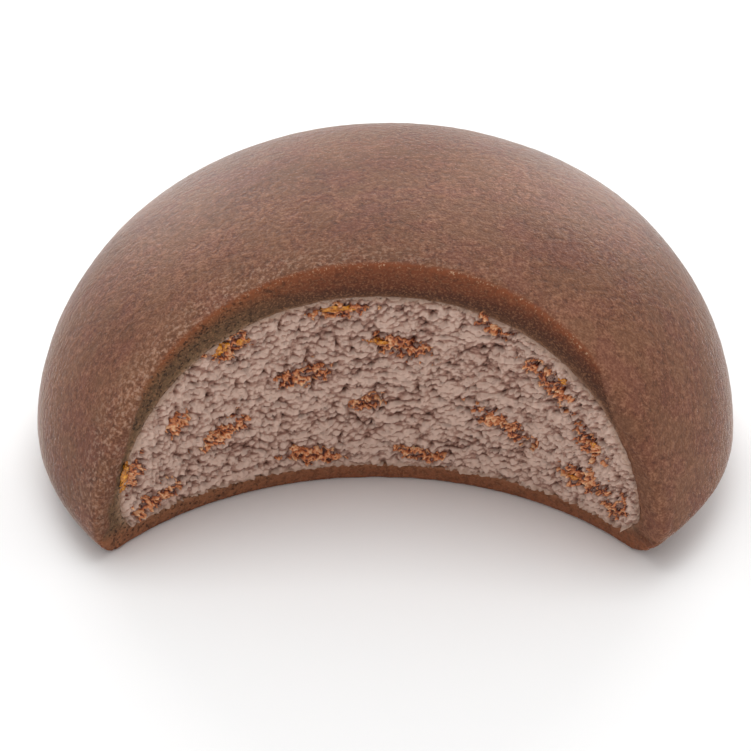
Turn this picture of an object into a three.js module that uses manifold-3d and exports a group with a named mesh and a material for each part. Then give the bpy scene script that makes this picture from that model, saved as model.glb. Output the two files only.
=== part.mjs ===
// A round of mochi ice cream with one large bite taken out of its front: a soft dough skin round an
// ice-cream core, and clumps of caramel crumbs fused into the bitten face of the core.
// Millimetres, +Z up. The flat base lies on z = 0 with the origin near its middle, and the bite
// faces -Y. The bite is a round hole that leans forward as it rises, so the bitten face overhangs.
import * as THREE from "three";
import { mergeVertices } from "three/addons/utils/BufferGeometryUtils.js";
import Module from "manifold-3d";

// ---------------------------------------------------------------- driving dimensions

// The dome.
const ACROSS = 50; // over the widest ring
const HEIGHT = 21.6;
const BULGE_HEIGHT = 3.45; // the widest ring stands this far above the base
const FOOT_RADIUS = 22.4; // the edge of the flat base
const CROWN_FALL = 1.8; // 2 is a plain ellipse down from the crown, less is more pointed
const CROWN_WIDTH = 2.7; // 2 is a plain ellipse out from the axis, more is squarer
const FOOT_ROUND = 1.3; // the same for the turn under the bulge, 1 is a plain chamfer
const FOOT_SHIFT = { x: -0.85, y: 0.25 }; // how far the base has slid under the bulge
const CROWN_SHIFT = 1; // how far the crown has slumped towards +X

// The dough skin.
const TOP_WALL = 3.05;
const SIDE_WALL = 1.8;
const FLOOR_WALL = 1.6;
const FOOT_WALL = 1.6; // more skin at the corner of the base, where the dough was gathered
const FOOT_WALL_HEIGHT = 11.25; // that extra thickness has faded out at this height

// The bite, a round hole seen from above.
const BITE_RADIUS = 22.3;
const BITE_CENTRE = { x: -0.2, y: -27 }; // at the base
const BITE_LEAN = { x: -0.018, y: -0.3 }; // how far the centre moves for each mm of height
const BITE_LOW = -2; // the cutting shape runs from below the base
const BITE_HIGH = 24; // to above the crown
const BITE_OVAL = 0.016; // share by which the hole is narrower from side to side than it is deep
const BITE_SKEW = 0.018; // share by which it reaches less far towards +X than towards -X

// The fit between the two pieces, and the roughness of the bitten ice cream.
const GAP = 0.3;
const CRAG = { length: 1.9, height: 1.1, depth: 0.45 }; // long low ledges, like packed snow
const NIB = { length: 0.95, height: 0.8, depth: 0.22 }; // finer lumps on them
const TORN = { length: 3.4, height: 2.2, depth: 0.12 }; // the bitten dough is much smoother

// How finely the round shapes are divided.
const DOME_SIDES = 84;
const DOME_RINGS = 15; // above the widest ring
const CORE_SIDES = 60;
const CORE_RINGS = 9;
const FOOT_RINGS = 3; // below it
const BITE_SIDES = 124;
const BITE_ROWS = 23;
const TORN_SIDES = 96;
const TORN_ROWS = 14;

// The crumb clumps. Each lies on the bitten wall at an angle round the bite, where 90 is its
// deepest point and less is towards +X, at a height in mm. It is so long and so wide in mm, and
// its long side rises towards +X by a slope in degrees.
const CLUMPS = [
  { angle: 115, height: 14.5, long: 2.8, wide: 1.3, slope: 28 },
  { angle: 96, height: 16.7, long: 3.4, wide: 1.0, slope: 5 },
  { angle: 103, height: 10.9, long: 3.6, wide: 1.5, slope: 16 },
  { angle: 86, height: 13.2, long: 4.0, wide: 1.5, slope: -18 },
  { angle: 70, height: 16.0, long: 2.6, wide: 1.1, slope: -28 },
  { angle: 59, height: 12.4, long: 4.4, wide: 1.6, slope: -45 },
  { angle: 92, height: 7.9, long: 2.2, wide: 1.3, slope: 22 },
  { angle: 127, height: 8.9, long: 2.2, wide: 1.2, slope: 50 },
  { angle: 118, height: 6.8, long: 4.0, wide: 1.5, slope: 30 },
  { angle: 102, height: 2.9, long: 3.8, wide: 1.2, slope: -6 },
  { angle: 83, height: 2.9, long: 3.7, wide: 1.2, slope: -14 },
  { angle: 68, height: 7.2, long: 4.8, wide: 1.6, slope: -28 },
  { angle: 50, height: 8.0, long: 3.0, wide: 1.7, slope: -50 },
  { angle: 51, height: 4.4, long: 4.2, wide: 1.7, slope: 0 },
  { angle: 137, height: 6.2, long: 3.2, wide: 1.3, slope: 70 },
  { angle: 132, height: 2.9, long: 4.2, wide: 1.5, slope: 12 },
  { angle: 43, height: 3.3, long: 2.8, wide: 1.5, slope: 45 },
];
const CRUMB_PITCH = 0.85; // length of clump to each crumb
const CRUMB_RADIUS = { least: 0.5, most: 0.8 };
const CRUMB_SUNK = 0.15; // how far a crumb's middle lies behind the bitten wall
const CRUMB_FLAT = 0.75; // its depth is this share of its width
const CRUMB_KNOBS = 0.2; // its corners stand in or out by up to this share

// ---------------------------------------------------------------- repeatable variety

// A value from 0 to 1 that belongs to one whole-numbered place.
function pick(i, j, seed) {
  const wave = Math.sin(i * 127.1 + j * 311.7 + seed * 74.7) * 43758.5453;
  return wave - Math.floor(wave);
}

// Smooth lumps from -1 to 1, one to each whole step of u and v.
function lumps(u, v, seed) {
  const i = Math.floor(u);
  const j = Math.floor(v);
  const across = THREE.MathUtils.smoothstep(u - i, 0, 1);
  const up = THREE.MathUtils.smoothstep(v - j, 0, 1);
  const low = THREE.MathUtils.lerp(pick(i, j, seed), pick(i + 1, j, seed), across);
  const high = THREE.MathUtils.lerp(pick(i, j + 1, seed), pick(i + 1, j + 1, seed), across);
  return 2 * THREE.MathUtils.lerp(low, high, up) - 1;
}

// ---------------------------------------------------------------- outlines

// The radius of the skin's outside at a height, for a dome with its crown at top.
function domeRadius(z, top) {
  if (z >= BULGE_HEIGHT) {
    const climb = Math.min(1, (z - BULGE_HEIGHT) / (top - BULGE_HEIGHT));
    return (ACROSS / 2) * (1 - climb ** CROWN_FALL) ** (1 / CROWN_WIDTH);
  }
  const drop = (BULGE_HEIGHT - z) / BULGE_HEIGHT;
  return FOOT_RADIUS + (ACROSS / 2 - FOOT_RADIUS) * (1 - drop ** FOOT_ROUND) ** (1 / FOOT_ROUND);
}

// The radius of the hollow inside the skin at a height.
function hollowRadius(z, top) {
  const corner = Math.max(0, 1 - z / FOOT_WALL_HEIGHT) ** 2;
  return domeRadius(z, top) * (1 - (2 * SIDE_WALL) / ACROSS) - FOOT_WALL * corner;
}

// Moves a plain round shape's points to the slightly slumped and uneven shape of the real food.
function slump(geometry) {
  const place = geometry.attributes.position;
  for (let i = 0; i < place.count; i += 1) {
    const [x, y, z] = [place.getX(i), place.getY(i), place.getZ(i)];
    const drop = Math.max(0, 1 - z / BULGE_HEIGHT);
    const climb = Math.max(0, (z - BULGE_HEIGHT) / (HEIGHT - BULGE_HEIGHT));
    const turn = Math.atan2(y, x);
    const swell = 1 - 0.0042 * Math.cos(2 * turn) - 0.0075 * Math.sin(2 * turn)
      + 0.0042 * Math.cos(3 * turn) - 0.0066 * Math.sin(3 * turn);
    place.setX(i, x * swell + FOOT_SHIFT.x * drop + CROWN_SHIFT * climb ** 2);
    place.setY(i, y * swell + FOOT_SHIFT.y * drop);
  }
  return geometry;
}

// ---------------------------------------------------------------- solids

const kernel = await Module();
kernel.setup();

// A geometry with its shared corners merged.
function joined(geometry) {
  geometry.deleteAttribute("normal");
  geometry.deleteAttribute("uv");
  return mergeVertices(geometry, 1e-5);
}

// A closed geometry as a solid, without the faces that shrank to a line at its poles.
function solidOf(geometry) {
  const merged = joined(geometry);
  const corners = merged.index.array;
  const faces = [];
  for (let i = 0; i < corners.length; i += 3) {
    const [a, b, c] = [corners[i], corners[i + 1], corners[i + 2]];
    if (a !== b && b !== c && c !== a) faces.push(a, b, c);
  }
  return new kernel.Manifold(new kernel.Mesh({
    numProp: 3,
    vertProperties: new Float32Array(merged.attributes.position.array),
    triVerts: new Uint32Array(faces),
  }));
}

// The largest of a solid's separate bodies, without loose scraps and sealed pockets.
function mainBody(solid) {
  return solid.decompose().reduce((best, body) => (body.volume() > best.volume() ? body : best));
}

// A round solid between two heights, from a function that gives its radius at a height. Its rings
// crowd together towards the crown, where the outline turns level.
function turned(radiusAt, floor, top, rings, sides) {
  const outline = [new THREE.Vector2(0, floor)];
  for (let i = 0; i < FOOT_RINGS; i += 1) {
    const z = THREE.MathUtils.lerp(floor, BULGE_HEIGHT, i / FOOT_RINGS);
    outline.push(new THREE.Vector2(radiusAt(z), z));
  }
  for (let i = 0; i < rings; i += 1) {
    const climb = Math.sin((Math.PI / 2) * (i / rings));
    const z = THREE.MathUtils.lerp(BULGE_HEIGHT, top, climb);
    outline.push(new THREE.Vector2(radiusAt(z), z));
  }
  outline.push(new THREE.Vector2(0, top));
  return solidOf(slump(new THREE.LatheGeometry(outline, sides).rotateX(Math.PI / 2)));
}

// The radius of the bite at an angle round it, in radians from +X.
function biteRadius(angle) {
  return BITE_RADIUS * (1 - BITE_OVAL * Math.cos(2 * angle) - BITE_SKEW * Math.cos(angle));
}

// The point of the bitten wall at an angle and a height, so far out from the wall into the hole.
function biteWall(angle, z, out) {
  const radius = biteRadius(angle) - out;
  return new THREE.Vector3(
    BITE_CENTRE.x + BITE_LEAN.x * z + radius * Math.cos(angle),
    BITE_CENTRE.y + BITE_LEAN.y * z + radius * Math.sin(angle),
    z,
  );
}

// The shape that the bite takes away. roughness gives how far its wall stands in or out at a
// distance round it and a height.
function bite(sides, rows, roughness) {
  const tool = new THREE.CylinderGeometry(1, 1, BITE_HIGH - BITE_LOW, sides, rows);
  tool.rotateX(Math.PI / 2);
  tool.translate(0, 0, (BITE_LOW + BITE_HIGH) / 2);
  const place = tool.attributes.position;
  for (let i = 0; i < place.count; i += 1) {
    const [x, y, z] = [place.getX(i), place.getY(i), place.getZ(i)];
    if (Math.hypot(x, y) < 0.5) continue; // the middles of the two ends
    const angle = Math.atan2(y, x);
    const wall = biteWall(angle, z, roughness(angle * BITE_RADIUS, z));
    place.setXYZ(i, wall.x, wall.y, wall.z);
  }
  return solidOf(tool);
}

// How far one kind of roughness stands out at a distance round the bite and a height.
function rough({ length, height, depth }, along, z, seed) {
  return depth * lumps(along / length, z / height, seed);
}

// One crumb, a rough nugget of twenty faces.
function crumb(middle, radius, seed) {
  const nugget = joined(new THREE.IcosahedronGeometry(radius, 0));
  const place = nugget.attributes.position;
  for (let i = 0; i < place.count; i += 1) {
    const reach = 1 + CRUMB_KNOBS * (2 * pick(i, seed, 5) - 1);
    const corner = new THREE.Vector3().fromBufferAttribute(place, i).multiplyScalar(reach);
    place.setXYZ(i, corner.x, corner.y * CRUMB_FLAT, corner.z);
  }
  nugget.rotateZ(pick(seed, 1, 6) - 0.5);
  return solidOf(nugget.translate(middle.x, middle.y, middle.z));
}

// All the crumbs of one clump, strewn along its long side.
function clump({ angle, height, long, wide, slope }, number) {
  const count = Math.max(3, Math.round(long / CRUMB_PITCH));
  const lean = THREE.MathUtils.degToRad(slope);
  const crumbs = [];
  for (let i = 0; i < count; i += 1) {
    const seed = number * 20 + i;
    const radius = THREE.MathUtils.lerp(CRUMB_RADIUS.least, CRUMB_RADIUS.most, pick(seed, 2, 7));
    const along = ((i + 0.5) / count - 0.5) * (long - CRUMB_RADIUS.most);
    const beside = (pick(seed, 3, 8) - 0.5) * Math.max(0, wide - radius);
    const right = along * Math.cos(lean) - beside * Math.sin(lean);
    const up = along * Math.sin(lean) + beside * Math.cos(lean);
    const round = THREE.MathUtils.degToRad(angle) - right / BITE_RADIUS;
    crumbs.push(crumb(biteWall(round, height + up, -CRUMB_SUNK), radius, seed));
  }
  return crumbs.reduce((whole, next) => whole.add(next));
}

// ---------------------------------------------------------------- the two pieces

const dome = turned((z) => domeRadius(z, HEIGHT), 0, HEIGHT, DOME_RINGS, DOME_SIDES);

// The hollow in the skin, or the core that fills it, which is smaller all round by a gap.
function inside(gap) {
  const top = HEIGHT - TOP_WALL - gap;
  const radiusAt = (z) => hollowRadius(z, top) - gap;
  return turned(radiusAt, FLOOR_WALL + gap, top, CORE_RINGS, CORE_SIDES);
}

const tornBite = bite(TORN_SIDES, TORN_ROWS, (along, z) => rough(TORN, along, z, 1));
const craggyBite = bite(BITE_SIDES, BITE_ROWS,
  (along, z) => rough(CRAG, along, z, 2) + rough(NIB, along, z, 3));

const skin = mainBody(dome.subtract(inside(0)).subtract(tornBite));

// The crumbs are kept out of the bite before it cuts the core, so they stay on the bitten wall,
// and nothing of them reaches past the core into the skin.
const crumbs = CLUMPS.map(clump).reduce((whole, next) => whole.add(next));
const filling = mainBody(inside(GAP).subtract(craggyBite.subtract(crumbs)));

function piece(name, solid, color, roughness) {
  const { vertProperties, triVerts } = solid.getMesh();
  const geometry = new THREE.BufferGeometry();
  geometry.setAttribute("position", new THREE.BufferAttribute(vertProperties, 3));
  geometry.setIndex(new THREE.BufferAttribute(triVerts, 1));
  geometry.computeVertexNormals();
  const mesh = new THREE.Mesh(
    geometry,
    new THREE.MeshStandardMaterial({ color, roughness, metalness: 0 }),
  );
  mesh.name = name;
  return mesh;
}

const mochi = new THREE.Group();
mochi.add(piece("mochi_dough", skin, 0x7f5a48, 0.6));
mochi.add(piece("ice_cream", filling, 0x947267, 0.55));

export default mochi;
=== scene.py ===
"""A round of mochi ice cream with one large bite out of its front.

Three things show: the cocoa dough skin, the craggy ice cream inside it, and the caramel crumbs and
glossy caramel smears in the bitten face. Shapes are modelled in millimetres, in the frame of the solids,
and scaled to metres when they are finished. +Z is up and the bite faces -Y.
"""
import math

import bmesh
import bpy
from mathutils import Matrix, Vector, noise


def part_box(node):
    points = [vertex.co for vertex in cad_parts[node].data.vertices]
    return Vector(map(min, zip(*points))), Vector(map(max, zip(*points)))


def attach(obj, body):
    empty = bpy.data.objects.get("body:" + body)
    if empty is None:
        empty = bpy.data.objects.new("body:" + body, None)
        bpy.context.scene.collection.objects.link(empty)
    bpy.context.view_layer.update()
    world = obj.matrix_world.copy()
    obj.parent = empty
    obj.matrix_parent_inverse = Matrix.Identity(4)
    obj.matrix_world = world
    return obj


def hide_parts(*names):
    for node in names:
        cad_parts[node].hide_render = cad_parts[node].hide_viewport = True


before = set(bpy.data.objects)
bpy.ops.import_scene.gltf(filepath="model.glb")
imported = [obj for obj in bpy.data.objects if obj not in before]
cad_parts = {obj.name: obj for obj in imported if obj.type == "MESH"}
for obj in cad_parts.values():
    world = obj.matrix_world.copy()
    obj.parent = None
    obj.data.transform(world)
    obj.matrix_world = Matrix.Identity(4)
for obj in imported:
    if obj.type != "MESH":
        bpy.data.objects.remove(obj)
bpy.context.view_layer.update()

MM = 0.001
SEED = 7
noise.seed_set(SEED)  # without it, noise_vector is seeded by the clock

# ------------------------------------------------------------------ sizes of the solids, in mm

ACROSS = 50
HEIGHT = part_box("mochi_dough")[1].z / MM
BULGE_HEIGHT = 3.45
FOOT_RADIUS = 22.4
CROWN_FALL = 1.8
CROWN_WIDTH = 2.7
FOOT_ROUND = 1.3
FOOT_SHIFT = Vector((-0.85, 0.25))
CROWN_SHIFT = 1
OVAL = (-0.0042, -0.0075)  # cosine and sine shares by which the round is oval, seen from above
EGG = (0.0042, -0.0066)  # and by which it is three-sided
TOP_WALL = 3.05
SIDE_WALL = 1.8
FLOOR_WALL = 1.6
FOOT_WALL = 1.6
FOOT_WALL_HEIGHT = 11.25
BITE_RADIUS = 22.3
BITE_CENTRE = Vector((-0.2, -27))
BITE_LEAN = Vector((-0.018, -0.3))
BITE_OVAL = 0.016
BITE_SKEW = 0.018
BITE_LOW, BITE_HIGH = -2, 24

# ------------------------------------------------------------------ what only the looks need, in mm

PROUD = 0.03  # the drawn skin stays this far inside the solid one, so that its grain has room
SKIN_RINGS, SKIN_SIDES = 60, 200
CORE_RINGS, CORE_SIDES = 24, 120
FOOT_RINGS = 8
BITE_ROWS, BITE_SIDES = 40, 240

SKIN_VOXEL = 0.256
RIM_SHARP = math.radians(24)  # a rim whose faces turn more than this is rounded
RIM_ROUNDS = 3
HORN_FROM, HORN_TO = math.radians(38), math.radians(50)  # the cut band turns into plain skin here
HORN_REACH = 1.5  # how far from the bite its two ends are rounded
HORN_FOOT = 2.2  # and from what height
HORN_ROUNDS = 24
FLAT_FOOT = 0.3  # the dough is smooth up to this height
DIMPLE, WAVE, TORN_GRAIN = 0.02, 0.05, 0.09  # how far the dough's roughness stands out
WAVE_LENGTH = 6

CORE_FILL = 0.03  # how far the ice cream presses into the skin round it
FACE_PITCH = 0.115  # between neighbouring points of the bitten ice cream
FACE_ARC = math.radians(58)  # half of the bitten face, from its middle
FACE_SPARE = 0.6  # how far the shape that cuts it goes on past the core's top and floor
LUMP, NIB, SHELF = 0.3, 0.2, 0.16  # how far each kind of lump on it stands out
MEAN_LUMP = 0.75  # about the mean of a heap of them
CREST, LINE, DUST, PIT, SWELL = 0.06, 0.08, 0.22, 0.36, 0.12
RELIEF_SHADE = 1.4  # painted light: how much lighter the ice cream is painted for each mm that it stands out, a painted highlight on its lumps and painted shade in its pits
TOP_SHADE = 0.7  # and how much lighter it is painted on its upper sides, as painted light from above

CLUMP_REACH = 3.5  # a clump is looked for no further than this from its middle
CLUMP_SUNK = 0.2  # how far the ice cream lies back under the crumbs
CRUMB_PITCH = 0.058  # between neighbouring points of the crumbs
CRUMB_PROUD = 0.08  # how far their ridges stand out from the ice cream
CRUMB_SINK = 0.7  # how far a sheet of them is sunk at its rim
CRUMB_BACK = 0.3  # how far behind its face the back of a sheet lies
SHEET_LONG, SHEET_WIDE = 0.75, 0.9  # half a sheet, as shares of its clump's length and width
HOLE_DEPTH = 0.32  # of the dark holes between the ridges of crumb
SMEAR_THICK = 0.14  # half the thickness of a smear of caramel
SMEAR_LUMP = 0.1
SMEAR_FOLLOW = 0.6  # the share of the ice cream's relief that a smear follows

# Each clump of crumbs: angle round the bite (90 is its deepest point, less is towards +X), height,
# length, width, and the slope of its long side in degrees.
CLUMPS = [
    (115, 14.5, 3.2, 1.7, 28),
    (96, 16.6, 3.8, 1.3, 5),
    (103, 10.9, 4.1, 1.9, 16),
    (86, 13.2, 4.4, 1.9, -18),
    (70, 16.0, 2.9, 1.2, -28),
    (59, 12.4, 4.7, 1.8, -45),
    (92, 7.9, 2.5, 1.5, 22),
    (127, 8.9, 2.5, 1.5, 50),
    (118, 6.8, 4.3, 1.9, 30),
    (102, 2.9, 4.2, 1.7, -6),
    (83, 2.9, 4.1, 1.4, -14),
    (68, 7.2, 5.2, 1.9, -28),
    (50, 8.0, 3.4, 2.0, -50),
    (51, 4.4, 4.5, 2.1, 0),
    (137, 6.2, 3.4, 1.5, 70),
    (132, 2.9, 4.5, 1.8, 12),
    (43, 3.3, 3.0, 1.8, 45),
]
# The same numbers for each smear of glossy caramel.
SMEARS = [
    (117, 14.6, 1.5, 0.7, 35),
    (113, 14.9, 1.0, 0.5, 20),
    (96.5, 16.8, 2.6, 0.5, 3),
    (90, 13.7, 1.5, 0.5, -10),
    (56.5, 13.0, 0.9, 0.35, -50),
    (53, 4.2, 1.0, 0.4, 0),
    (139, 6.6, 2.9, 0.55, 72),
    (49, 8.3, 0.7, 0.4, -50),
]


# ------------------------------------------------------------------ outlines

def dome_radius(z, top):
    """The radius of the skin's outside at a height, for a dome with its crown at top."""
    if z >= BULGE_HEIGHT:
        climb = min(1, (z - BULGE_HEIGHT) / (top - BULGE_HEIGHT))
        return ACROSS / 2 * (1 - climb ** CROWN_FALL) ** (1 / CROWN_WIDTH)
    drop = min(1, (BULGE_HEIGHT - z) / BULGE_HEIGHT)
    return FOOT_RADIUS + (ACROSS / 2 - FOOT_RADIUS) * (1 - drop ** FOOT_ROUND) ** (1 / FOOT_ROUND)


def hollow_radius(z, top):
    """The radius of the hollow inside the skin at a height."""
    corner = max(0, 1 - z / FOOT_WALL_HEIGHT) ** 2
    return dome_radius(z, top) * (1 - 2 * SIDE_WALL / ACROSS) - FOOT_WALL * corner


def slump_of(x, y, z):
    """The swelling and the sideways shift of the uneven dome at a place."""
    turn = math.atan2(y, x)
    swell = (1 + OVAL[0] * math.cos(2 * turn) + OVAL[1] * math.sin(2 * turn)
             + EGG[0] * math.cos(3 * turn) + EGG[1] * math.sin(3 * turn))
    drop = max(0, 1 - z / BULGE_HEIGHT)
    climb = max(0, (z - BULGE_HEIGHT) / (HEIGHT - BULGE_HEIGHT))
    return swell, FOOT_SHIFT.x * drop + CROWN_SHIFT * climb ** 2, FOOT_SHIFT.y * drop


def bite_radius(angle):
    return BITE_RADIUS * (1 - BITE_OVAL * math.cos(2 * angle) - BITE_SKEW * math.cos(angle))


def bite_wall(angle, z, out=0.0):
    """The point of the bitten wall at an angle and a height, so far out from it into the bite."""
    radius = bite_radius(angle) - out
    return Vector((BITE_CENTRE.x + BITE_LEAN.x * z + radius * math.cos(angle),
                   BITE_CENTRE.y + BITE_LEAN.y * z + radius * math.sin(angle), z))


def on_bite(point):
    """The angle of a point round the bite, and how far it stands out from the wall into it."""
    x = point.x - BITE_CENTRE.x - BITE_LEAN.x * point.z
    y = point.y - BITE_CENTRE.y - BITE_LEAN.y * point.z
    angle = math.atan2(y, x)
    return angle, bite_radius(angle) - math.hypot(x, y)


def depth_inside(point, shrink, radius_at, top):
    """About how deep a point lies under a round surface whose crown is at top."""
    swell, shift_x, shift_y = slump_of(point.x, point.y, point.z)
    reach = math.hypot(point.x - shift_x, point.y - shift_y) / swell
    across = radius_at(point.z, top) - reach
    share = min(1, reach / (ACROSS / 2 * shrink))
    crown = BULGE_HEIGHT + (top - BULGE_HEIGHT) * (1 - share ** CROWN_WIDTH) ** (1 / CROWN_FALL)
    upward = crown - point.z
    if across <= 0 or upward <= 0:
        return min(across, upward)
    return across * upward / math.hypot(across, upward)


def skin_depth(point):
    return depth_inside(point, 1, dome_radius, HEIGHT)


def core_depth(point):
    shrink = 1 - 2 * SIDE_WALL / ACROSS
    return min(depth_inside(point, shrink, hollow_radius, HEIGHT - TOP_WALL), point.z - FLOOR_WALL)


def blend(value, low, high):
    """0 up to low, 1 from high, and smooth between them, also where low is the larger."""
    share = min(1, max(0, (value - low) / (high - low)))
    return share * share * (3 - 2 * share)


# ------------------------------------------------------------------ roughness of the bitten face

def clump_share(along, z):
    """From 0 outside the clumps of crumbs to 1 well inside one."""
    nearest = 9.0  # far outside them all
    for angle, height, long, wide, slope in CLUMPS:
        right = math.radians(90 - angle) * BITE_RADIUS
        dx, dz = along - right, z - height
        if abs(dx) > CLUMP_REACH or abs(dz) > CLUMP_REACH:
            continue
        lean = math.radians(slope)
        a = (dx * math.cos(lean) + dz * math.sin(lean)) / (long / 2)
        b = (dz * math.cos(lean) - dx * math.sin(lean)) / (wide / 2)
        nearest = min(nearest, (abs(a) ** 3 + abs(b) ** 3) ** (1 / 3))
    ragged = 0.7 * noise.fractal(Vector((along * 1.3, z * 1.5, 4)), 0.8, 2, 3)
    return blend(nearest + ragged, 1.15, 0.8)


def heap(place):
    """Round lumps heaped like popcorn, one to each cell of size 1, that bulge out near their tops.

    Gives how far the foremost lump stands out, and how far it stands before the one behind it.
    """
    first, second = 0, 0
    for middle in noise.voronoi(place)[1]:
        dx, dy = place.x - middle.x, place.y - middle.y - 0.4
        round_top = math.sqrt(max(0, 1 - (dx * dx + dy * dy) / 0.9))
        height = (1 + 0.4 * noise.cell(middle * 9.7)) * round_top
        second = max(second, min(first, height))
        first = max(first, height)
    return first, first - second


def crags(along, z):
    """How far the ice cream stands out at a place of the bitten face, and its finer part alone.

    It is packed in lumps, wide and low on the right, small on the left, with nibs on them, thin
    wandering crests, and pits in some of the creases. On the right shelves lie under the lumps.
    """
    ledges = blend(along, -9, 3)
    wander = noise.noise_vector(Vector((along * 0.5, z * 0.5, 3)))
    ripple = noise.noise_vector(Vector((along * 2.2, z * 2.2, 8)))
    place = Vector((along, z, 0)) + wander * 0.35 + ripple * 0.15
    lump, step = heap(Vector((place.x / (0.95 + 0.8 * ledges), place.y / (1.1 + 0.2 * ledges), 0.5)))
    nib, _ = heap(Vector((place.x / 0.62, place.y / 0.7, 7.5)))
    shelf, _ = heap(Vector((place.x / 2.4, place.y / 1.5, 3.5)))
    fold = noise.noise(Vector((place.x, place.y, 3)) * 1.6)
    crest, line = max(-1, 1 - 4 * abs(fold)), max(0, 1 - 9 * abs(fold + 0.05))
    swell = noise.noise(Vector((along / 3.2, z / 2.6, 1)))
    dust = noise.fractal(Vector((along, z, 0)) * 3.2, 0.5, 2.2, 3)
    hollow = noise.noise(Vector((place.x / 0.5, place.y / 0.45, 5)))
    pit = blend(hollow, 0.05, 0.45) * blend(step, 0.4, 0.05)
    fine = (LUMP * (lump - MEAN_LUMP) + NIB * (nib - MEAN_LUMP)
            + SHELF * ledges * (shelf - MEAN_LUMP)
            + CREST * crest + LINE * line + DUST * dust - PIT * pit)
    return SWELL * swell + fine, fine


# ------------------------------------------------------------------ making meshes

def linked(name, mesh):
    made = bpy.data.objects.new(name, mesh)
    bpy.context.scene.collection.objects.link(made)
    return made


def to_object(name, bm):
    """Closes a bmesh's seams, turns its faces outwards and makes it an object."""
    bmesh.ops.remove_doubles(bm, verts=bm.verts, dist=1e-4)
    bmesh.ops.recalc_face_normals(bm, faces=bm.faces)
    if bm.calc_volume(signed=True) < 0:
        bmesh.ops.reverse_faces(bm, faces=bm.faces)
    mesh = bpy.data.meshes.new(name)
    bm.to_mesh(mesh)
    bm.free()
    return linked(name, mesh)


def apply(target, kind, **settings):
    """Adds a modifier to an object and makes its result the object's own mesh."""
    modifier = target.modifiers.new(kind.lower(), kind)
    for key, value in settings.items():
        setattr(modifier, key, value)
    graph = bpy.context.evaluated_depsgraph_get()
    mesh = bpy.data.meshes.new_from_object(target.evaluated_get(graph))
    target.modifiers.clear()
    target.data = mesh


def carve(target, tool):
    """Cuts a tool's shape out of an object. A cut that left it whole or empty is made again."""
    whole = target.data
    for solver in "MANIFOLD", "MANIFOLD", "EXACT":
        target.data = whole
        apply(target, "BOOLEAN", operation="DIFFERENCE", solver=solver, object=tool)
        if len(target.data.vertices) not in (0, len(whole.vertices)):
            break
    bpy.data.objects.remove(tool)


def spun(outline, sides):
    """A closed round body, from its outline in the XZ plane that starts and ends on the axis."""
    bm = bmesh.new()
    points = [bm.verts.new((x, 0, z)) for x, z in outline]
    edges = [bm.edges.new(pair) for pair in zip(points, points[1:])]
    bmesh.ops.spin(bm, geom=points + edges, cent=(0, 0, 0), axis=(0, 0, 1),
                   angle=math.tau, steps=sides, use_merge=True)
    return bm


def round_body(name, radius_at, floor, top, rings, sides, shrink=0.0):
    """The slumped dome, the hollow in it, or the core. shrink is taken off all round."""
    foot = [floor + (BULGE_HEIGHT - floor) * i / FOOT_RINGS for i in range(FOOT_RINGS)]
    climbs = [math.sin(math.pi / 2 * i / rings) for i in range(rings)]
    heights = foot + [BULGE_HEIGHT + (top - BULGE_HEIGHT) * climb for climb in climbs]
    outline = [(radius_at(z, top) - shrink, z) for z in heights]
    bm = spun([(0, floor), *outline, (0, top)], sides)
    for vert in bm.verts:
        swell, shift_x, shift_y = slump_of(*vert.co)
        vert.co.x = vert.co.x * swell + shift_x
        vert.co.y = vert.co.y * swell + shift_y
    return to_object(name, bm)


def smooth_bite():
    """The shape that the bite takes out of the skin."""
    deep = BITE_HIGH - BITE_LOW
    walls = [(1, BITE_LOW + deep * i / BITE_ROWS) for i in range(BITE_ROWS + 1)]
    bm = spun([(0, BITE_LOW), *walls, (0, BITE_HIGH)], BITE_SIDES)
    for vert in bm.verts:
        on_axis = math.hypot(vert.co.x, vert.co.y) < 0.5
        if not on_axis:
            vert.co = bite_wall(math.atan2(vert.co.y, vert.co.x), vert.co.z)
    return to_object("bite", bm)


def close_back(bm, move):
    """Gives a sheet sides and a back, so that it is a solid. move places the points of the back."""
    border = [edge for edge in bm.edges if edge.is_boundary]
    grown = bmesh.ops.extrude_edge_only(bm, edges=border)["geom"]
    for part in grown:
        if isinstance(part, bmesh.types.BMVert):
            move(part)
    bmesh.ops.holes_fill(bm, edges=[edge for edge in bm.edges if edge.is_boundary], sides=0)


def craggy_bite():
    """The shape that the bite takes out of the ice cream: a block with a craggy round back."""
    def to_front(vert):
        vert.co.y = BITE_CENTRE.y

    low, high = FLOOR_WALL - FACE_SPARE, HEIGHT - TOP_WALL + FACE_SPARE
    columns = round(2 * FACE_ARC * BITE_RADIUS / FACE_PITCH)
    rows = round((high - low) / FACE_PITCH)
    bm = bmesh.new()
    bmesh.ops.create_grid(bm, x_segments=columns, y_segments=rows, size=1)
    for vert in bm.verts:
        turn, z = vert.co.x * FACE_ARC, low + (high - low) * (vert.co.y + 1) / 2
        along = turn * BITE_RADIUS
        out = crags(along, z)[0] - CLUMP_SUNK * clump_share(along, z)
        vert.co = bite_wall(math.pi / 2 - turn, z, out)
    close_back(bm, to_front)
    return to_object("craggy_bite", bm)


def joined(name, batches):
    """One object from batches of small bmeshes, gathered a batch at a time, which is far quicker."""
    scrap = bpy.data.meshes.new(name)
    whole = bmesh.new()
    for batch in batches:
        some = bmesh.new()
        for part in batch:
            part.to_mesh(scrap)
            part.free()
            some.from_mesh(scrap)
        some.to_mesh(scrap)
        some.free()
        whole.from_mesh(scrap)
    bmesh.ops.recalc_face_normals(whole, faces=whole.faces)
    whole.to_mesh(scrap)
    whole.free()
    return linked(name, scrap)


def paint(mesh, name, values):
    """Keeps one number for each point of a mesh, for its material to read."""
    mesh.attributes.new(name, "FLOAT", "POINT").data.foreach_set("value", values)


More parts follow.
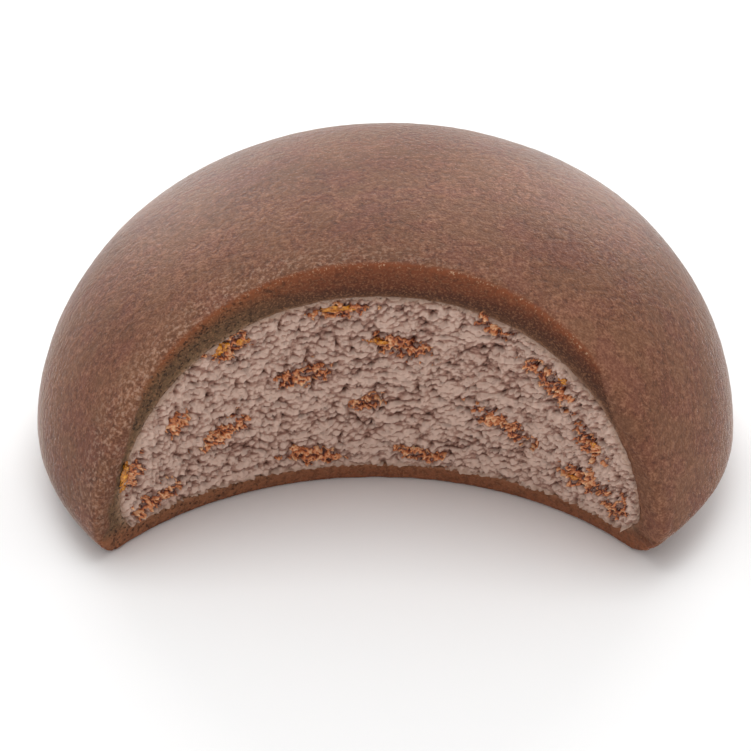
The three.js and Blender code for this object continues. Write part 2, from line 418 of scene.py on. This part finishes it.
def finished(piece, material):
    """Scales a piece to metres, shades it smooth and hands it to the frame."""
    piece.data.transform(Matrix.Scale(MM, 4))
    piece.data.shade_smooth()
    piece.data.materials.clear()
    piece.data.materials.append(material)
    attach(piece, "root")
    return piece


# ------------------------------------------------------------------ the pieces

def on_horn(place):
    """Whether a place lies by the bite at one of its two ends, where the rim is blunt."""
    angle, out = on_bite(place)
    at_end = abs(math.pi / 2 - angle) > HORN_FROM
    return abs(out) < HORN_REACH and at_end and place.z > HORN_FOOT


def round_rims(piece):
    """Softens every sharp rim of a finely divided mesh, and evens out the rest once."""
    bm = bmesh.new()
    bm.from_mesh(piece.data)
    bmesh.ops.smooth_vert(bm, verts=bm.verts, factor=0.5,
                          use_axis_x=True, use_axis_y=True, use_axis_z=True)
    rim = {vert for edge in bm.edges if edge.calc_face_angle(0) > RIM_SHARP for vert in edge.verts}
    wide = {near for vert in rim for edge in vert.link_edges for near in edge.verts}
    horn = {vert for vert in bm.verts if on_horn(vert.co)}
    for verts in [wide, rim] * RIM_ROUNDS + [horn] * HORN_ROUNDS:
        bmesh.ops.smooth_vert(bm, verts=list(verts), factor=0.5,
                              use_axis_x=True, use_axis_y=True, use_axis_z=True)
    bm.to_mesh(piece.data)
    bm.free()


def skin_move(place):
    """How far the dough stands out at a place: dimples outside, torn grain on the bitten band."""
    if place.z < FLAT_FOOT:
        return 0.0
    torn = blend(abs(on_bite(place)[1]), 0.7, 0.2)
    dimples = DIMPLE * noise.fractal(place * 1.3, 1, 2, 3) + WAVE * noise.noise(place / WAVE_LENGTH)
    grains = TORN_GRAIN * noise.fractal(place * 1.9 + Vector((9, 0, 0)), 1, 2, 3)
    return dimples + (grains - dimples) * torn


def roughen_skin(piece):
    """Gives the dough its dimpled outside and its torn, grainy bitten band."""
    moves = [vert.normal * skin_move(vert.co) for vert in piece.data.vertices]
    for vert, move in zip(piece.data.vertices, moves):
        vert.co += move


def make_dough():
    """The dough skin. Each point keeps, for its finish, how it lies.

    cut is 1 on the bitten band, and torn where the band shows the inside of the dough. depth goes
    from 0 at the outside to 1 at the ice cream. rim is 1 along the band's outer edge, and sand in
    the loose powder round the bite.
    """
    piece = round_body("mochi_skin", dome_radius, 0, HEIGHT - PROUD, SKIN_RINGS, SKIN_SIDES, PROUD)
    carve(piece, smooth_bite())
    apply(piece, "REMESH", mode="VOXEL", voxel_size=SKIN_VOXEL)
    round_rims(piece)
    roughen_skin(piece)
    carve(piece, round_body("hollow", hollow_radius, FLOOR_WALL, HEIGHT - TOP_WALL,
                            CORE_RINGS, CORE_SIDES))
    cut, torn, depth, rim, sand = [], [], [], [], []
    for vert in piece.data.vertices:
        angle, out = on_bite(vert.co)
        turn = math.pi / 2 - angle
        outer = max(0, min(skin_depth(vert.co), vert.co.z))
        inner = max(0, -core_depth(vert.co))
        share = outer / max(0.01, outer + inner)
        horn = blend(abs(turn), HORN_FROM, HORN_TO) * blend(vert.co.z, 1.6, 3)
        skinned = horn * (0.6 if turn < 0 else 1.2)
        cut.append(blend(abs(out), 0.4, 0.2))
        torn.append(cut[-1] * blend(share - skinned, -0.15, 0))
        depth.append(share)
        rim.append(blend(outer, 0.35, 0.05) * blend(abs(out), 0.5, 0.15) * (1 - horn))
        sand.append(blend(abs(out), 4.5, 0.6) * blend(turn, 0.9, -0.5) * blend(abs(turn), 1.3, 0.8))
    for name, values in ("cut", cut), ("torn", torn), ("depth", depth), ("rim", rim), ("sand", sand):
        paint(piece.data, name, values)
    return piece


def make_ice_cream():
    """The core. Each point keeps its painted light, lighter on its lumps and upper sides and darker in
    its pits, how far it lies in a clump of crumbs, and how deep it lies under the core's round outside."""
    piece = round_body("ice_cream_core", hollow_radius, FLOOR_WALL - CORE_FILL,
                       HEIGHT - TOP_WALL + CORE_FILL, CORE_RINGS, CORE_SIDES, -CORE_FILL)
    carve(piece, craggy_bite())
    relief, clump, edge = [], [], []
    for vert in piece.data.vertices:
        angle, _ = on_bite(vert.co)
        along = (math.pi / 2 - angle) * BITE_RADIUS
        # painted light from above: faces that turn upwards are painted lighter
        upper = TOP_SHADE * (vert.normal.z + 0.3)
        relief.append(0.5 + RELIEF_SHADE * crags(along, vert.co.z)[1] + upper)
        clump.append(clump_share(along, vert.co.z))
        edge.append(max(0, core_depth(vert.co)))
    for name, values in ("relief", relief), ("clump", clump), ("edge", edge):
        paint(piece.data, name, values)
    return piece


def on_face(along, z, out):
    """A point of the bitten face, from how far it lies along it, how high, and how far out."""
    return bite_wall(math.pi / 2 - along / BITE_RADIUS, z, out)


def place_of(spot, a, b):
    """How far along the face and how high a point lies, from its place in a clump or smear."""
    angle, height, _, _, slope = spot
    lean, middle = math.radians(slope), math.radians(90 - angle) * BITE_RADIUS
    along = middle + a * math.cos(lean) - b * math.sin(lean)
    return along, height + a * math.sin(lean) + b * math.cos(lean)


def crumb_ridges(along, z):
    """From 1 on the ridges of the baked crumbs to 0 in the holes between them."""
    place = Vector((along * 1.15, z * 1.6, 20))
    place += 0.3 * noise.noise_vector(place * 2.3)
    net = min(abs(noise.noise(place)), abs(noise.noise(place + Vector((40, 9, 0)))) + 0.02)
    return blend(net + 0.05 * noise.noise(place * 4), 0.24, 0.04)


def crumb_sheet(clump, shade):
    """One clump: a slab folded into a net of ridges, and sunk into the ice cream all round.

    Its painted light and tint, higher for what stands further out, is added to a list: a painted
    highlight on the ridges and painted shading in the holes, with the crumbs' own random tint.
    """
    def into_food(vert):
        vert.co.y += CRUMB_BACK
        shade.append(0)

    _, _, long, wide, _ = clump
    half_long, half_wide = long * SHEET_LONG, wide * SHEET_WIDE
    bm = bmesh.new()
    bmesh.ops.create_grid(bm, x_segments=round(2 * half_long / CRUMB_PITCH),
                          y_segments=round(2 * half_wide / CRUMB_PITCH), size=1)
    for vert in bm.verts:
        along, z = place_of(clump, vert.co.x * half_long, vert.co.y * half_wide)
        share, ridge = clump_share(along, z), crumb_ridges(along, z)
        grit = noise.fractal(Vector((along, z, 5)) * 4, 0.5, 2, 2)
        rise = ridge * (0.7 + 0.5 * grit)
        out = crags(along, z)[0] + CRUMB_PROUD - HOLE_DEPTH * (1 - rise) - CRUMB_SINK * (1 - share)
        vert.co = on_face(along, z, out)
        tint = 0.25 * noise.noise(Vector((along, z, 9)) * 1.3) + 0.12 * grit
        # painted light: the ridges are painted lighter as a highlight and the holes darker as shading;
        # tint is the crumbs' own random colour
        shade.append(0.75 * rise + tint)
    close_back(bm, into_food)
    return bm


def make_crumbs():
    shade = []
    piece = joined("caramel_crumbs", ([crumb_sheet(clump, shade)] for clump in CLUMPS))
    paint(piece.data, "shade", shade)
    return piece


def smear(spot):
    """A thin, ragged smear of caramel that lies on the bitten face."""
    angle, _, long, wide, _ = spot
    bm = bmesh.new()
    bmesh.ops.create_icosphere(bm, subdivisions=4, radius=1)
    for vert in bm.verts:
        ragged = 1 + 0.5 * noise.noise(Vector((vert.co.x * long, vert.co.y * wide, angle)) * 2)
        along, z = place_of(spot, vert.co.x * ragged * long / 2, vert.co.y * ragged * wide / 2)
        lumps = SMEAR_LUMP * noise.noise(Vector((along, z, 2)) * 2.5)
        out = crags(along, z)[0] * SMEAR_FOLLOW + lumps + SMEAR_THICK * vert.co.z
        vert.co = on_face(along, z, out)
    return bm


def make_smears():
    return joined("caramel_slivers", ([smear(spot)] for spot in SMEARS))


# ------------------------------------------------------------------ finishes

def srgb(red, green, blue):
    """A colour as a screen shows it, 0 to 255, as the light it stands for."""
    def light(value):
        share = value / 255
        return share / 12.92 if share <= 0.04045 else ((share + 0.055) / 1.055) ** 2.4
    return (light(red), light(green), light(blue), 1)


class Wire:
    """One output of a shader node. Sums written with it become Math nodes."""

    def __init__(self, finish, socket):
        self.finish, self.socket = finish, socket

    def sum(self, operation, first, second):
        values = {0: first, 1: second}
        return self.finish.node("ShaderNodeMath", {"operation": operation}, values)["Value"]

    def __add__(self, other): return self.sum("ADD", self, other)
    def __radd__(self, other): return self.sum("ADD", other, self)
    def __sub__(self, other): return self.sum("SUBTRACT", self, other)
    def __rsub__(self, other): return self.sum("SUBTRACT", other, self)
    def __mul__(self, other): return self.sum("MULTIPLY", self, other)
    def __rmul__(self, other): return self.sum("MULTIPLY", other, self)


class Node:
    """A shader node whose outputs are read by name."""

    def __init__(self, finish, node):
        self.finish, self.node = finish, node

    def __getitem__(self, name):
        found = next(s for s in self.node.outputs if name in (s.identifier, s.name) and s.enabled)
        return Wire(self.finish, found)


class Finish:
    """A material that is being wired."""

    def __init__(self, name):
        self.material = bpy.data.materials.new(name)
        self.material.use_nodes = True
        self.tree = self.material.node_tree
        self.tree.nodes.clear()
        self.place = self.node("ShaderNodeTexCoord", {}, {})["Object"]

    def node(self, kind, settings, values):
        """Any node: its settings first, then a number, colour or wire for each named socket."""
        node = self.tree.nodes.new(kind)
        for key, value in settings.items():
            if key == "stops":
                for stop, (at, colour) in zip(self.stops(node, len(value)), value):
                    stop.position, stop.color = at, colour
            else:
                setattr(node, key, value)
        for key, value in values.items():
            if isinstance(key, int):
                socket = node.inputs[key]
            else:
                socket = next(s for s in node.inputs if key in (s.identifier, s.name) and s.enabled)
            if isinstance(value, Wire):
                self.tree.links.new(value.socket, socket)
            else:
                socket.default_value = value
        return Node(self, node)

    @staticmethod
    def stops(node, count):
        while len(node.color_ramp.elements) < count:
            node.color_ramp.elements.new(1)
        return node.color_ramp.elements

    def grain(self, size, detail, rough=0.55):
        """Smooth noise, 0 to 1, with features of a size in mm."""
        values = {"Vector": self.place, "Scale": 1 / (size * MM), "Detail": detail, "Roughness": rough}
        return self.node("ShaderNodeTexNoise", {}, values)["Fac"]

    def along(self, axis):
        return self.node("ShaderNodeSeparateXYZ", {}, {"Vector": self.place})[axis]

    def attribute(self, name):
        return self.node("ShaderNodeAttribute", {"attribute_name": name}, {})["Fac"]

    def between(self, value, low, high):
        """0 where a value is under low, 1 over high, smooth between them."""
        values = {"Value": value, "From Min": low, "From Max": high}
        settings = {"interpolation_type": "SMOOTHSTEP"}
        return self.node("ShaderNodeMapRange", settings, values)["Result"]

    def ramp(self, value, stops):
        return self.node("ShaderNodeValToRGB", {"stops": stops}, {"Fac": value})["Color"]

    def mix(self, share, first, second):
        settings = {"data_type": "RGBA"}
        values = {"Factor_Float": share, "A_Color": first, "B_Color": second}
        return self.node("ShaderNodeMix", settings, values)["Result_Color"]

    def bump(self, height, depth, normal=None):
        """Fine relief: height from 0 to 1 stands for a depth in mm."""
        values = {"Height": height, "Distance": depth * MM}
        if normal:
            values["Normal"] = normal
        return self.node("ShaderNodeBump", {}, values)["Normal"]

    def principled(self, values):
        return self.node("ShaderNodeBsdfPrincipled", {}, values)["BSDF"]

    def output(self, shader):
        self.node("ShaderNodeOutputMaterial", {}, {"Surface": shader})
        return self.material

    def surface(self, values):
        return self.output(self.principled(values))


def dough_finish():
    """Cocoa powder over soft dough outside, and the darker, pored inside on the bitten band, darkest a
    little inside the rim partly by painted shading under the overhanging lip.
    """
    f = Finish("cocoa_dough")
    torn, depth, rim, sand = (f.attribute(name) for name in ("torn", "depth", "rim", "sand"))
    powder, speckle, patches = f.grain(0.15, 2, 0.6), f.grain(0.4, 3, 0.6), f.grain(2.6, 3)
    grit = f.grain(0.26, 2, 0.6)
    outside = f.ramp(powder * 0.4 + speckle * 0.4 + f.grain(8, 3) * 0.2, [
        (0.38, srgb(80, 46, 33)), (0.50, srgb(115, 72, 52)), (0.62, srgb(151, 105, 80))])
    outside = f.mix(f.between(patches, 0.42, 0.62) * 0.35, outside, srgb(117, 82, 57))
    outside = f.mix(f.between(patches, 0.48, 0.34) * 0.35, outside, srgb(117, 70, 57))
    outside = f.mix(f.between(grit, 0.50, 0.66) * sand * 0.5, outside, srgb(182, 148, 126))
    outside = f.mix(f.between(grit, 0.46, 0.36) * sand * 0.45, outside, srgb(78, 45, 30))
    left = f.between(f.along("X"), -3 * MM, -12 * MM)
    # darkest a little inside the rim, in part the cut dough's own colour and in part painted shading
    # under the overhanging lip; beige where it meets the ice cream
    inside = f.ramp(depth, [
        (0.0, srgb(124, 65, 37)), (0.18, srgb(88, 44, 25)), (0.5, srgb(74, 41, 26)),
        (0.8, srgb(95, 62, 44)), (1.0, srgb(155, 121, 99))])
    inside = f.mix(left * 0.7, inside, f.ramp(depth, [
        (0.0, srgb(132, 77, 44)), (0.25, srgb(105, 80, 54)), (0.75, srgb(112, 88, 62)),
        (1.0, srgb(165, 135, 108))]))
    inside = f.mix(f.between(f.along("Z"), 2.6 * MM, 1.2 * MM) * 0.6, inside, srgb(158, 96, 64))
    inside = f.mix(f.between(speckle, 0.45, 0.62) * 0.4, inside, srgb(58, 30, 17))
    inside = f.mix(f.between(powder, 0.48, 0.68) * 0.4, inside, srgb(162, 113, 80))
    pores = f.between(grit, 0.56, 0.66) * (0.2 + left * 0.8)
    inside = f.mix(pores * 0.75, inside, srgb(40, 23, 12))
    # glints: cream specks along the rim, partly light crumbs of dough and partly a painted highlight,
    # fewer on the left
    glints = f.between(powder, 0.60, 0.66) * (1 - left * 0.7)
    rim_colour_and_glints = f.mix(glints, srgb(128, 68, 38), srgb(205, 172, 142))
    outside = f.mix(rim * 0.65, outside, rim_colour_and_glints)
    inside = f.mix(rim * 0.65, inside, rim_colour_and_glints)
    colour = f.mix(torn, outside, inside)
    fine = f.bump(powder, 0.045)
    coarse = f.bump(speckle - pores * torn, 0.08, fine)
    skin = f.principled({
        "Base Color": colour, "Roughness": 0.6, "Normal": coarse, "Specular IOR Level": 0.2,
        "Subsurface Weight": 0.05, "Subsurface Radius": (0.9, 0.45, 0.3), "Subsurface Scale": MM,
        "Sheen Weight": 1.0, "Sheen Roughness": 0.12, "Sheen Tint": (1, 0.94, 0.89, 1)})
    dull = f.principled({"Base Color": colour, "Roughness": 0.7, "Normal": coarse,
                         "Specular IOR Level": 0.25})
    share = f.attribute("cut")
    return f.output(f.node("ShaderNodeMixShader", {}, {"Fac": share, 1: skin, 2: dull})["Shader"])


def ice_cream_finish():
    f = Finish("chocolate_ice_cream")
    relief, clump, edge = f.attribute("relief"), f.attribute("clump"), f.attribute("edge")
    powder, mottle = f.grain(0.17, 3, 0.65), f.grain(2.2, 3)
    # the ramp runs from painted shade in the pits to a painted highlight on the lumps, with the ice
    # cream's own powder grain and mottle
    body = f.ramp(relief * 0.72 + powder * 0.32 - 0.05 + mottle * 0.08, [
        (0.16, srgb(43, 19, 13)), (0.34, srgb(96, 61, 48)), (0.48, srgb(136, 97, 83)),
        (0.64, srgb(169, 131, 115)), (0.88, srgb(212, 181, 165))])
    rim = f.between(edge, 0.5, 0.05)
    body = f.mix(rim * 0.5, body, srgb(158, 126, 104))
    # dark brown under the crumbs, showing in the holes between their ridges: partly dark crumb and
    # partly painted shading in the holes
    body = f.mix(clump * 0.65, body, srgb(100, 56, 40))
    return f.surface({
        "Base Color": body, "Roughness": 0.6, "Normal": f.bump(powder, 0.07),
        "Subsurface Weight": 0.05, "Subsurface Radius": (0.8, 0.5, 0.4), "Subsurface Scale": MM,
        "Specular IOR Level": 0.3})


def crumb_finish():
    f = Finish("baked_caramel_crumb")
    shade, speckle = f.attribute("shade"), f.grain(0.16, 3, 0.7)
    # dark red-brown in the holes as painted shading and peach on the ridges as a painted highlight, over
    # the crumbs' own tint and speckle
    colour = f.ramp(shade * 0.85 + speckle * 0.3 - 0.12, [
        (0.0, srgb(60, 25, 20)), (0.20, srgb(120, 56, 38)), (0.40, srgb(214, 128, 76)),
        (0.70, srgb(246, 196, 150))])
    return f.surface({"Base Color": colour, "Roughness": 0.42, "Normal": f.bump(speckle, 0.06),
                      "Specular IOR Level": 0.5})


def caramel_finish():
    f = Finish("amber_caramel")
    speckle = f.grain(0.3, 3, 0.6)
    colour = f.ramp(speckle, [(0.35, srgb(120, 58, 8)), (0.52, srgb(204, 124, 14)),
                              (0.68, srgb(236, 164, 40))])
    return f.surface({"Base Color": colour, "Roughness": 0.22, "Normal": f.bump(speckle, 0.03),
                      "Coat Weight": 0.4, "Coat Roughness": 0.12})


def floor_finish():
    f = Finish("pale_floor")
    haze = f.mix(f.grain(120, 2), (0.92, 0.92, 0.92, 1), (0.94, 0.94, 0.94, 1))
    return f.surface({"Base Color": haze, "Roughness": 0.9})


# ------------------------------------------------------------------ stage

# The photo's view, found from the outline: a camera that looks down on the dome from the front.
VIEW_DOWN = math.radians(29.85)
VIEW_DISTANCE = 175 * MM
VIEW_TARGET = Vector((0, 0, 8.75 * MM))
PICTURE = 751  # pixels across
FOCUS_PIXELS = 2458
OFF_CENTRE = (7.9, 33.4)  # pixels by which the target lies right of and above the middle
SENSOR = 36
FLOOR_HALF = 3  # metres


def aim(made, place, target):
    made.location = place
    made.rotation_euler = (target - place).to_track_quat("-Z", "Y").to_euler()


def make_camera():
    lens = bpy.data.cameras.new("camera")
    lens.sensor_width = SENSOR
    lens.lens = FOCUS_PIXELS / PICTURE * SENSOR
    lens.shift_x = -OFF_CENTRE[0] / PICTURE
    lens.shift_y = -OFF_CENTRE[1] / PICTURE
    lens.clip_start = 10 * MM
    made = linked("camera", lens)
    back = Vector((0, -math.cos(VIEW_DOWN), math.sin(VIEW_DOWN)))
    aim(made, VIEW_TARGET + back * VIEW_DISTANCE, VIEW_TARGET)
    bpy.context.scene.camera = made


def softbox(name, place, wide, tall, watts):
    """A soft light at a place in metres that faces the food."""
    light = bpy.data.lights.new(name, "AREA")
    light.shape = "RECTANGLE"
    light.size, light.size_y, light.energy = wide, tall, watts
    aim(linked(name, light), Vector(place), VIEW_TARGET)


def make_stage():
    bm = bmesh.new()
    bmesh.ops.create_grid(bm, x_segments=1, y_segments=1, size=FLOOR_HALF)
    floor = to_object("floor", bm)
    floor.data.materials.append(floor_finish())
    softbox("rear_left", (-0.24, 0.55, 0.14), 0.25, 0.20, 1.4)
    softbox("rear_right", (0.24, 0.55, 0.14), 0.25, 0.20, 1.5)
    softbox("rear_middle", (0.0, 0.6, 0.16), 0.7, 0.20, 0.35)
    softbox("front", (0.0, -0.5, 0.35), 0.5, 0.4, 0.2)
    softbox("overhead", (0.0, 0.0, 0.6), 0.4, 0.4, 1.4)
    world = bpy.data.worlds.new("studio")
    world.use_nodes = True
    world.node_tree.nodes["Background"].inputs["Color"].default_value = (1, 1, 1, 1)
    world.node_tree.nodes["Background"].inputs["Strength"].default_value = 0.7
    bpy.context.scene.world = world
    bpy.context.scene.view_settings.view_transform = "Standard"


# ------------------------------------------------------------------ putting it together

skin = finished(make_dough(), dough_finish())
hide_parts("mochi_dough")
filling = finished(make_ice_cream(), ice_cream_finish())
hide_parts("ice_cream")
finished(make_crumbs(), crumb_finish())
finished(make_smears(), caramel_finish())
make_camera()
make_stage()
